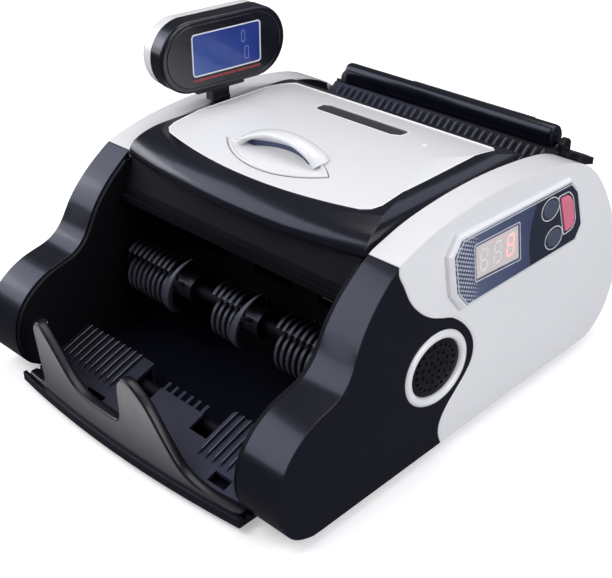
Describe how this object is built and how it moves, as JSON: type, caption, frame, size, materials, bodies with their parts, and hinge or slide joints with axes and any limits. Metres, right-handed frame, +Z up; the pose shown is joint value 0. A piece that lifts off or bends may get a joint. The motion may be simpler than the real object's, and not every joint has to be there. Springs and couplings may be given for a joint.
{
  "type": "banknote counting machine",
  "caption": "Desk-top banknote counter with rear feed hopper, hinged top cover, front stacking bay with impeller wheels, side control panel and a swivelling outside display.",
  "frame": {"origin": "middle of the base plate's underside between the two side covers, at the height where the rubber feet start", "axes": "+X to the machine's own right-hand cover when it is seen from the front, -Y out of the stacking bay at the front, +Z up"},
  "size_m": [0.2536, 0.3136, 0.1945],
  "materials": {
    "black_gloss": "glossy injection-moulded ABS, nearly black with a cool tint",
    "black_satin": "fine-grained satin black ABS",
    "white_gloss": "pearl white glossy lacquered ABS",
    "white_plain": "plain white acetal",
    "panel_film": "printed blue-grey keypad film with a soft sheen",
    "led_window": "pale translucent window over the digits",
    "button_blue": "blue-grey keypad film over a snap dome",
    "button_red": "pinkish red plastic",
    "dark_inlay": "dark grey textured insert",
    "lcd_blue": "blue backlit liquid-crystal window",
    "impeller_plastic": "grey-black flexible plastic with a soft sheen",
    "steel": "plain ground steel",
    "painted_steel": "dark painted steel",
    "chrome": "bright plated screw",
    "brass": "sintered bronze bush",
    "rubber": "moulded rubber",
    "circuit_board": "green fibreglass board with components"
  },
  "bodies": {
    "chassis": {"right_front_cover": "black_gloss", "left_front_cover": "black_gloss", "right_rear_cover": "white_gloss", "left_rear_cover": "white_gloss", "speaker_ring": "white_gloss", "speaker_grille": "black_satin", "speaker_driver": "steel", "panel_overlay": "panel_film", "led_window": "led_window", "panel_board": "circuit_board", "base_pan": "black_gloss", "rubber_feet": "rubber", "right_side_plate": "black_satin", "left_side_plate": "black_satin", "tie_rods": "steel", "frame_screws": "chrome", "rear_housing": "black_satin", "hopper_bed": "black_satin", "stacker_floor": "black_gloss", "front_stop": "black_gloss", "bay_upper_panel": "black_satin", "bay_back_panel": "black_satin", "sensor_rail": "steel", "shaft_bearings": "brass", "note_guide": "steel", "motor_body": "painted_steel", "motor_bracket": "steel", "drive_belts": "rubber", "transformer": "painted_steel", "main_board": "circuit_board", "power_inlet": "black_satin", "power_switch_body": "black_satin", "cover_hinge_rod": "steel"},
    "top_cover": {"top_cover_frame": "black_gloss", "lid_plate": "white_gloss", "lid_inlay": "dark_inlay", "cover_handle": "white_gloss", "pinch_brackets": "black_satin", "separator_block": "rubber", "display_neck": "black_satin"},
    "idlers": {"pinch_rollers": "white_plain"},
    "extension_flap": {"hopper_extension": "black_gloss"},
    "impeller": {"impeller_shaft": "steel", "impeller_wheels": "impeller_plastic", "impeller_pulley": "black_satin"},
    "feed_roller": {"main_roller_shaft": "steel", "main_roller_tyres": "rubber", "main_roller_pulleys": "black_satin"},
    "kicker": {"kicker_shaft": "steel", "kicker_rollers": "rubber"},
    "motor_drive": {"motor_rotor": "steel"},
    "count_key": {"count_button": "button_blue"},
    "mode_key": {"mode_button": "button_blue"},
    "reset_key": {"reset_button": "button_red"},
    "rocker": {"power_rocker": "button_red"},
    "display_swivel": {"display_bracket": "black_satin"},
    "display_head": {"display_bezel": "black_gloss", "display_back": "white_gloss", "display_lcd": "lcd_blue"}
  },
  "joints": [
    {"name": "cover_open", "type": "hinge", "parent": "chassis", "child": "top_cover", "pos_m": [0, 0.082, 0.112], "axis": [-1, 0, 0], "range_deg": [0, 62]},
    {"name": "idler_spin", "type": "hinge", "parent": "top_cover", "child": "idlers", "pos_m": [0, 0.018, 0.1123], "axis": [1, 0, 0], "continuous": true},
    {"name": "extension_tilt", "type": "hinge", "parent": "chassis", "child": "extension_flap", "pos_m": [0, 0.142, 0.1195], "axis": [-1, 0, 0], "range_deg": [0, 60]},
    {"name": "impeller_spin", "type": "hinge", "parent": "chassis", "child": "impeller", "pos_m": [0, -0.052, 0.05], "axis": [1, 0, 0], "continuous": true},
    {"name": "feed_roller_spin", "type": "hinge", "parent": "chassis", "child": "feed_roller", "pos_m": [0, 0.018, 0.09], "axis": [1, 0, 0], "continuous": true},
    {"name": "kicker_spin", "type": "hinge", "parent": "chassis", "child": "kicker", "pos_m": [0, 0.1106, 0.0872], "axis": [1, 0, 0], "continuous": true},
    {"name": "motor_spin", "type": "hinge", "parent": "chassis", "child": "motor_drive", "pos_m": [0, 0.062, 0.034], "axis": [1, 0, 0], "continuous": true},
    {"name": "count_press", "type": "slide", "parent": "chassis", "child": "count_key", "axis": [-0.995, 0, -0.0995], "range_m": [0, 0.0008]},
    {"name": "mode_press", "type": "slide", "parent": "chassis", "child": "mode_key", "axis": [-0.995, 0, -0.0995], "range_m": [0, 0.0008]},
    {"name": "reset_press", "type": "slide", "parent": "chassis", "child": "reset_key", "axis": [-0.995, 0, -0.0995], "range_m": [0, 0.0008]},
    {"name": "power_rock", "type": "hinge", "parent": "chassis", "child": "rocker", "pos_m": [-0.033, 0.1616, 0.0415], "axis": [1, 0, 0], "range_deg": [-7, 7]},
    {"name": "display_turn", "type": "hinge", "parent": "top_cover", "child": "display_swivel", "pos_m": [-0.094, 0.024, 0.141], "axis": [0, 0, 1], "range_deg": [-90, 75]},
    {"name": "display_tilt", "type": "hinge", "parent": "display_swivel", "child": "display_head", "pos_m": [-0.094, 0.024, 0.149], "axis": [0.1097, 0.994, 0], "range_deg": [-12, 12]}
  ],
  "couplings": [
    {"joint": "motor_spin", "follows": "feed_roller_spin", "ratio": 2},
    {"joint": "impeller_spin", "follows": "feed_roller_spin", "ratio": 0.7},
    {"joint": "kicker_spin", "follows": "feed_roller_spin", "ratio": 1},
    {"joint": "idler_spin", "follows": "feed_roller_spin", "ratio": -2.6667}
  ]
}
